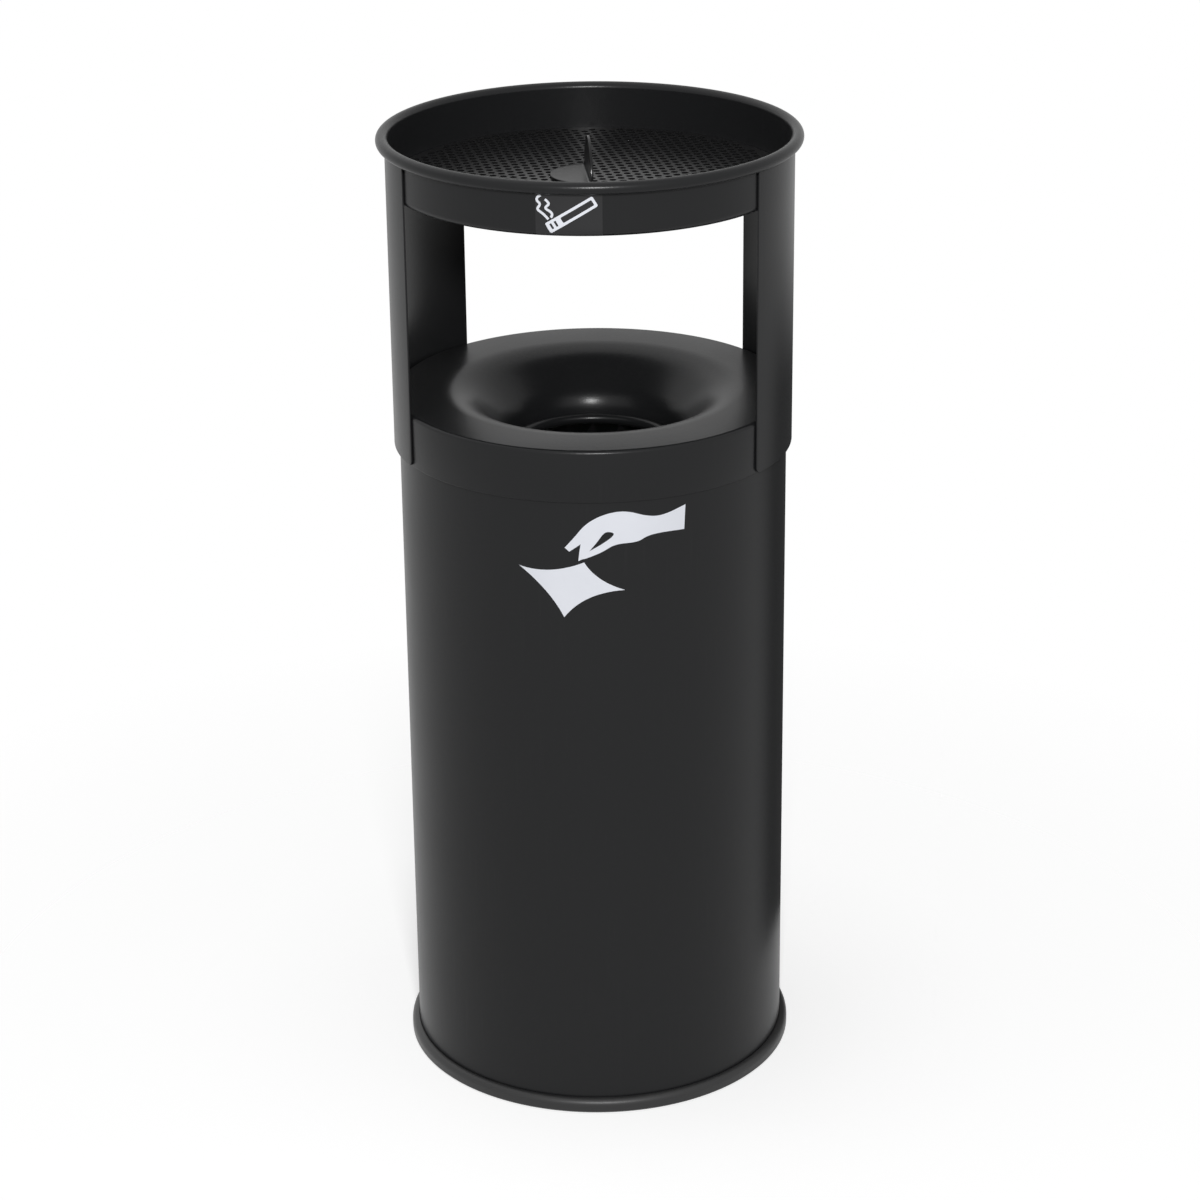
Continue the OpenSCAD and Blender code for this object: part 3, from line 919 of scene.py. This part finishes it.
def coat_grain_group():
    """Orange peel: two sizes of noise added as a height, and slow noise as a wander for the gloss."""
    tree, given, out = start_group(
        "coat_grain",
        [("Place", "Vector", None), ("Grain per metre", "Float", 900.0), ("Wander per metre", "Float", 9.0)],
        [("Height", "Float"), ("Wander", "Float")])
    place, grain, slow = (given.outputs[label] for label in ("Place", "Grain per metre", "Wander per metre"))
    fine = noise(tree, place, grain, detail=2.0)
    broad = noise(tree, place, product(tree, grain, BROAD_SCALE), detail=1.0)
    tree.links.new(weighted_sum(tree, broad, BROAD_HEIGHT, fine), out.inputs["Height"])
    tree.links.new(noise(tree, place, slow, detail=3.0), out.inputs["Wander"])
    return tree


COAT_GRAIN = coat_grain_group()
print("group:", COAT_GRAIN.name)


# %% Rub mark group
STREAK_SPAN = (0.55, 0.75)
PATCH_SPAN = (0.45, 0.7)


def rub_mark_group():
    """Faint rubs: noise drawn out along one direction, kept only where a slow second noise is high."""
    tree, given, out = start_group(
        "rub_marks",
        [("Place", "Vector", None), ("Stretch", "Vector", (260.0, 260.0, 9.0)),
         ("Patches per metre", "Float", 14.0)],
        [("Mask", "Float")])
    place, stretch, patches = (given.outputs[label] for label in ("Place", "Stretch", "Patches per metre"))
    drawn = add_node(tree, "VectorMath", {0: place, 1: stretch}, operation="MULTIPLY").outputs[0]
    thin = remapped(tree, noise(tree, drawn, 1.0, detail=4.0, Roughness=0.6), STREAK_SPAN)
    patchy = remapped(tree, noise(tree, place, patches, detail=2.0), PATCH_SPAN)
    tree.links.new(product(tree, thin, patchy), out.inputs["Mask"])
    return tree


RUB_MARKS = rub_mark_group()
print("group:", RUB_MARKS.name)


# %% Dust group
LEVEL_SPAN = (0.55, 1.0)
SPECK_SPAN = (0.22, 0.5)
SPECKS_PER_METRE = 420.0
DRIFTS_PER_METRE = 18.0


def dust_group():
    """Settled dust: specks of noise on faces that look up, as a mask from 0 to the amount."""
    tree, given, out = start_group(
        "settled_dust", [("Place", "Vector", None), ("Amount", "Float", 0.5)], [("Mask", "Float")])
    place, amount = given.outputs["Place"], given.outputs["Amount"]
    facing = add_node(tree, "SeparateXYZ", {0: add_node(tree, "NewGeometry").outputs["Normal"]})
    level = remapped(tree, facing.outputs["Z"], LEVEL_SPAN)
    specks = noise(tree, place, SPECKS_PER_METRE, detail=5.0)
    drift = noise(tree, place, DRIFTS_PER_METRE, detail=2.0)
    sparse = remapped(tree, product(tree, specks, drift), SPECK_SPAN)
    tree.links.new(product(tree, product(tree, sparse, level), amount), out.inputs["Mask"])
    return tree


DUST = dust_group()
print("group:", DUST.name)

# %% [markdown]
# ## Painted finishes
# The sheet is powder-coated in satin black. The plate has a slicker coat, and the plastic ring a duller one.
# They differ only in a few numbers, so one function writes all of them: the groups feed colour, roughness and
# bump, and what is the same all over stays on the shader's own sockets. A clear layer carries most of the
# shine, because its weight scales the whole reflection, and a weak one stays weak at the edges too.

# %% Coated materials
WANDER_SPAN = (0.3, 0.7)
RUB_SHARE = 0.12
DUST_ROUGHNESS = 0.25
PEEL_DEPTH = 0.0002


def start_material(name):
    """A new material with its tree, its shader node and its Object coordinates."""
    material = bpy.data.materials.new(name)
    material.use_nodes = True
    tree = material.node_tree
    place = add_node(tree, "TexCoord").outputs["Object"]
    return material, tree, tree.nodes["Principled BSDF"], place


def mixed_colour(tree, factor, low, high):
    """Socket with a colour between two others, each fixed or a socket, by a factor."""
    ends = {
        end: colour if isinstance(colour, bpy.types.NodeSocket) else (*colour, 1.0)
        for end, colour in (("A", low), ("B", high))}
    return add_node(tree, "Mix", {"Factor": factor, **ends}, data_type="RGBA").outputs["Result"]


def dress_shader(tree, shader, colour, rough, height, strength, depth):
    """Links colour and roughness to the shader, and a height as its bump. Gives back the bumped normal."""
    relief = add_node(tree, "Bump", {"Height": height, "Strength": strength, "Distance": depth})
    normal = relief.outputs["Normal"]
    for label, value in (("Base Color", colour), ("Roughness", rough), ("Normal", normal)):
        tree.links.new(value, shader.inputs[label])
    return normal


def coated(name, deep, worn, dusty, gloss, grain, bump, specular, top_coat, dust):
    """Coat with orange peel, wandering gloss, rubs and dust, under a thin clear layer.

    gloss is the roughness range of the pigment, and top_coat the weight and roughness of the clear layer.
    """
    material, tree, shader, place = start_material(name)
    peel = add_node(tree, "Group", {"Place": place, "Grain per metre": grain}, node_tree=COAT_GRAIN)
    marks = add_node(tree, "Group", {"Place": place}, node_tree=RUB_MARKS)
    settled = add_node(tree, "Group", {"Place": place, "Amount": dust}, node_tree=DUST).outputs["Mask"]
    rubbed = mixed_colour(tree, product(tree, marks.outputs["Mask"], RUB_SHARE), deep, worn)
    colour = mixed_colour(tree, settled, rubbed, dusty)
    sheen = remapped(tree, peel.outputs["Wander"], WANDER_SPAN, gloss)
    rough = weighted_sum(tree, settled, DUST_ROUGHNESS, sheen)
    normal = dress_shader(tree, shader, colour, rough, peel.outputs["Height"], bump, PEEL_DEPTH)
    tree.links.new(normal, shader.inputs["Coat Normal"])
    shader.inputs["Specular IOR Level"].default_value = specular
    shader.inputs["Coat Weight"].default_value, shader.inputs["Coat Roughness"].default_value = top_coat
    return material


FINISHES = {
    "satin_black": coated(
        "satin_black", deep=(0.011, 0.0113, 0.012), worn=(0.035, 0.035, 0.036), dusty=(0.07, 0.068, 0.064),
        gloss=(0.38, 0.46), grain=1100.0, bump=0.25, specular=0.04, top_coat=(0.33, 0.25), dust=0.10),
    "plate_black": coated(
        "plate_black", deep=(0.009, 0.009, 0.0095), worn=(0.035, 0.035, 0.035), dusty=(0.07, 0.068, 0.064),
        gloss=(0.32, 0.4), grain=1300.0, bump=0.2, specular=0.04, top_coat=(0.34, 0.17), dust=0.15),
    "ring_black": coated(
        "ring_black", deep=(0.016, 0.016, 0.0165), worn=(0.05, 0.05, 0.05), dusty=(0.08, 0.078, 0.072),
        gloss=(0.42, 0.52), grain=2200.0, bump=0.3, specular=0.35, top_coat=(0.2, 0.3), dust=0.15),
}
print("coats:", sorted(FINISHES))

# %% [markdown]
# ## Zinc
# Hot-dip zinc freezes in flat crystals, the spangle, each with its own tilt and shade. A Voronoi texture is
# the natural choice, because its cells have random colours that can stand for the tilt: one channel shifts
# the shade, another the roughness, a third the height. The drawn wire has no spangle, only fine level lines.

# %% Zinc materials
CRYSTALS_PER_METRE = 95.0
BLOOM_PER_METRE = 40.0
BLOOM_SHARE = 0.5
SHADE_SPAN = (0.2, 1.3)


def zinc_spangle():
    """Metal with Voronoi crystals: cell values shift shade, roughness and height, and noise adds a bloom."""
    material, tree, shader, place = start_material("zinc_spangle")
    crystals = add_node(tree, "TexVoronoi", {"Vector": place, "Scale": CRYSTALS_PER_METRE})
    tone, polish, tilt = add_node(tree, "SeparateColor", {0: crystals.outputs["Color"]}).outputs
    shade = weighted_sum(tree, noise(tree, place, BLOOM_PER_METRE, detail=5.0), BLOOM_SHARE, tone)
    level = remapped(tree, shade, SHADE_SPAN)
    colour = mixed_colour(tree, level, (0.17, 0.175, 0.18), (0.31, 0.315, 0.32))
    rough = remapped(tree, polish, (0.0, 1.0), (0.48, 0.66))
    dress_shader(tree, shader, colour, rough, tilt, strength=0.08, depth=0.0004)
    shader.inputs["Metallic"].default_value = 1.0
    return material


def zinc_wire():
    """Drawn, zinc-plated wire: grey metal whose roughness follows fine streaks and slow patches."""
    material, tree, shader, place = start_material("zinc_wire")
    marks = add_node(
        tree, "Group", {"Place": place, "Stretch": (40.0, 40.0, 900.0), "Patches per metre": 30.0},
        node_tree=RUB_MARKS)
    peel = add_node(
        tree, "Group", {"Place": place, "Grain per metre": 700.0, "Wander per metre": 25.0},
        node_tree=COAT_GRAIN)
    colour = mixed_colour(tree, peel.outputs["Wander"], (0.40, 0.41, 0.42), (0.60, 0.61, 0.62))
    rough = remapped(tree, marks.outputs["Mask"], (0.0, 1.0), (0.27, 0.5))
    dress_shader(tree, shader, colour, rough, peel.outputs["Height"], strength=0.1, depth=0.0001)
    shader.inputs["Metallic"].default_value = 1.0
    return material


FINISHES["zinc_spangle"] = zinc_spangle()
FINISHES["zinc_wire"] = zinc_wire()
print("metals: zinc_spangle, zinc_wire")

# %% [markdown]
# ## Sign films
# The white signs are cut from matt vinyl film, a touch blue. The patch under the cigarette is black film that
# is slightly lighter than the coat around it. Both have a fine calendered grain, and their colour and gloss
# wander a little.

# %% Film materials
def film_material(name, low, high, gloss, specular):
    """Vinyl film: colour and roughness wander slowly between two values, over a fine calendered grain."""
    material, tree, shader, place = start_material(name)
    peel = add_node(
        tree, "Group", {"Place": place, "Grain per metre": 1600.0, "Wander per metre": 40.0},
        node_tree=COAT_GRAIN)
    colour = mixed_colour(tree, peel.outputs["Wander"], low, high)
    rough = remapped(tree, peel.outputs["Wander"], WANDER_SPAN, gloss)
    dress_shader(tree, shader, colour, rough, peel.outputs["Height"], strength=0.12, depth=0.0001)
    shader.inputs["Specular IOR Level"].default_value = specular
    return material


FINISHES["sign_white"] = film_material(
    "sign_white", (0.78, 0.80, 0.86), (0.86, 0.88, 0.94), gloss=(0.45, 0.6), specular=0.4)
FINISHES["sign_film"] = film_material(
    "sign_film", (0.016, 0.016, 0.017), (0.020, 0.020, 0.021), gloss=(0.34, 0.42), specular=0.28)
print("films: sign_white, sign_film")

# %% [markdown]
# ## Dressing the pieces
# New meshes take their finish from the table that filled up as they were made. Two kinds of solid keep their
# own mesh, because their shape is already right: the perforated plate and the bucket's ears.

# %% Assign the finishes
for name, finish in PIECES.items():
    bpy.data.objects[name].data.materials.append(FINISHES[finish])

KEPT_SOLIDS = {
    "grid_plate": "plate_black",
    "liner_ear_left": "zinc_spangle",
    "liner_ear_right": "zinc_spangle",
}
for name, finish in KEPT_SOLIDS.items():
    for material_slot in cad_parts[name].material_slots:
        material_slot.material = FINISHES[finish]
print("dressed:", len(PIECES), "new pieces and", len(KEPT_SOLIDS), "solids")

# %% [markdown]
# ## The studio
# The ground and the background are white, and black satin paint mirrors them, most of all at its edges. So
# the world and the floor are white for the camera and for reflections alike, while the light on the bin comes
# from a dim room and two lamps. The floor keeps the bin's shadow and thins out into the background. Both
# sheets of the studio are made the same way: a surface, and a cover that says how much of it shows.

# %% Stage helpers
WHITE = (1.0, 1.0, 1.0, 1.0)


def seen_directly(tree):
    """1 for camera, glossy and transmission rays, 0 for the rest."""
    rays = add_node(tree, "LightPath").outputs
    two = add_node(tree, "Math", {0: rays["Is Camera Ray"], 1: rays["Is Glossy Ray"]}, operation="ADD")
    three = add_node(
        tree, "Math", {0: two.outputs[0], 1: rays["Is Transmission Ray"]}, operation="ADD", use_clamp=True)
    return three.outputs[0]


def ramped(tree, value, stops):
    """Socket with a level that follows a value through stops of (value, level)."""
    ramp = add_node(tree, "ValToRGB", {0: value})
    marks = ramp.color_ramp.elements
    while len(marks) < len(stops):
        marks.new(0.5)
    for mark, (position, level) in zip(marks, stops):
        mark.position, mark.color = position, (level, level, level, 1.0)
    return ramp.outputs["Color"]


def stage_material(name, paint):
    """Material of a studio sheet: paint(tree, place) gives its cover from 0 to 1 and its shader."""
    material, tree, shader, place = start_material(name)
    tree.nodes.remove(shader)
    cover, surface = paint(tree, place)
    clear = add_node(tree, "BsdfTransparent").outputs[0]
    mixed = add_node(tree, "MixShader", {0: cover, 1: clear, 2: surface})
    tree.links.new(mixed.outputs[0], tree.nodes["Material Output"].inputs["Surface"])
    return material


def add_sheet(name, points, faces, material):
    """Adds a mesh, in metres, that belongs to the studio and isn't part of the bin."""
    mesh = bpy.data.meshes.new(name)
    mesh.from_pydata(points.tolist(), [], faces.tolist())
    mesh.materials.append(material)
    sheet = bpy.data.objects.new(name, mesh)
    bpy.context.scene.collection.objects.link(sheet)
    print(f"{name}: {len(mesh.polygons)} faces")


# %% Floor
FLOOR_HALF = 1.2
FLOOR_GREYS = (0.72, 0.72, 0.72), (0.76, 0.76, 0.76)
MOTTLES_PER_METRE = 3.0
FLOOR_GLOW = 0.5
FLOOR_FADE = [(0.2, 1.0), (0.35, 0.5), (0.85, 0.0)]


def floor_paint(tree, place):
    """Pale diffuse floor with a glow that only direct and mirrored looks can see, thinning out from the bin.

    The cover is a ramp over the distance from the middle, in metres.
    """
    mottle = noise(tree, place, MOTTLES_PER_METRE, detail=2.0)
    matt = add_node(tree, "BsdfDiffuse", {"Color": mixed_colour(tree, mottle, *FLOOR_GREYS)})
    strength = product(tree, seen_directly(tree), FLOOR_GLOW)
    glow = add_node(tree, "Emission", {"Color": WHITE, "Strength": strength})
    both = add_node(tree, "AddShader", {0: matt.outputs[0], 1: glow.outputs[0]})
    away = add_node(tree, "VectorMath", {0: place}, operation="LENGTH")
    return ramped(tree, away.outputs["Value"], FLOOR_FADE), both.outputs[0]


corners = FLOOR_HALF * np.array([(-1, -1, 0), (1, -1, 0), (1, 1, 0), (-1, 1, 0)])
add_sheet("studio_floor", corners, np.arange(4)[None], stage_material("pale_floor", floor_paint))

# %% [markdown]
# The bin's right edge is dark in the photograph. A photographer gets that with a dark card beside the object,
# and so does this scene: a curved sheet that shows in reflections only. Its borders are soft, because a hard
# one would show as a line in the paint.

# %% Dark card
CARD_R = 0.28
CARD_TURN = (-0.1, 1.35)
CARD_HEIGHT = 0.7
CARD_LEVEL = 0.1
CARD_SIDES = [(0.5, 0.0), (0.55, 1.0), (0.66, 1.0), (0.71, 0.0)]
CARD_TOP = (0.5, 0.68)
CARD_POINTS = 25


def card_paint(tree, place):
    """Dark card that only reflections can see, with soft sides and a soft top.

    The sides fade with the turn around the bin, as a share of a full turn, and the top with the height.
    """
    turn = add_node(tree, "TexGradient", {0: place}, gradient_type="RADIAL")
    sides = ramped(tree, turn.outputs["Fac"], CARD_SIDES)
    height = add_node(tree, "SeparateXYZ", {0: place})
    top = remapped(tree, height.outputs["Z"], CARD_TOP, (1.0, 0.0), interpolation_type="SMOOTHSTEP")
    glossy = add_node(tree, "LightPath").outputs["Is Glossy Ray"]
    grey = add_node(tree, "Emission", {"Color": WHITE, "Strength": CARD_LEVEL})
    return product(tree, product(tree, sides, top), glossy), grey.outputs[0]


turns = np.linspace(*CARD_TURN, CARD_POINTS)
foot = np.stack([CARD_R * np.cos(turns), CARD_R * np.sin(turns), np.zeros_like(turns)], axis=1)
card_points = np.concatenate([foot, foot + (0, 0, CARD_HEIGHT)])
add_sheet("studio_card", card_points, grid_quads(2, CARD_POINTS), stage_material("dark_card", card_paint))

# %% World
ROOM_LEVEL = 0.25


def studio_world():
    """White where the camera, a reflection or clear material looks, and a dim level room for the light."""
    world = bpy.data.worlds.new("studio")
    world.use_nodes = True
    tree = world.node_tree
    shown = add_node(
        tree, "Mix", {"Factor": seen_directly(tree), "A": ROOM_LEVEL, "B": 1.0}, data_type="FLOAT")
    tree.links.new(shown.outputs["Result"], tree.nodes["Background"].inputs["Color"])
    return world


bpy.context.scene.world = studio_world()
print("world:", bpy.context.scene.world.name)

# %% [markdown]
# A small lamp stands in front, above the camera's line, and makes the highlight in the funnel. A wide one
# hangs high on the left and fills the shadows. They are only as strong as it takes for the white film to come
# out about as it is written.

# %% Lamps
LAMPS = {
    "front_lamp": {"place": (0.29, -2.3, 1.75), "size": 0.3, "power": 45.0},
    "top_lamp": {"place": (-0.9, 0.6, 2.6), "size": 3.0, "power": 11.0},
}
BIN_MIDDLE = Vector((0, 0, (CAD_LOW.z + CAD_HIGH.z) / 2))


def add_lamp(name, place, size, power):
    """Square area lamp at a place in metres, facing the middle of the bin."""
    data = bpy.data.lights.new(name, "AREA")
    data.size, data.energy = size, power
    lamp = bpy.data.objects.new(name, data)
    bpy.context.scene.collection.objects.link(lamp)
    lamp.location = place
    lamp.rotation_euler = (BIN_MIDDLE - Vector(place)).to_track_quat("-Z", "Y").to_euler()
    print(f"{name}: {power:.0f} W")


for name, values in LAMPS.items():
    add_lamp(name, **values)
bpy.context.scene.view_settings.view_transform = "Standard"
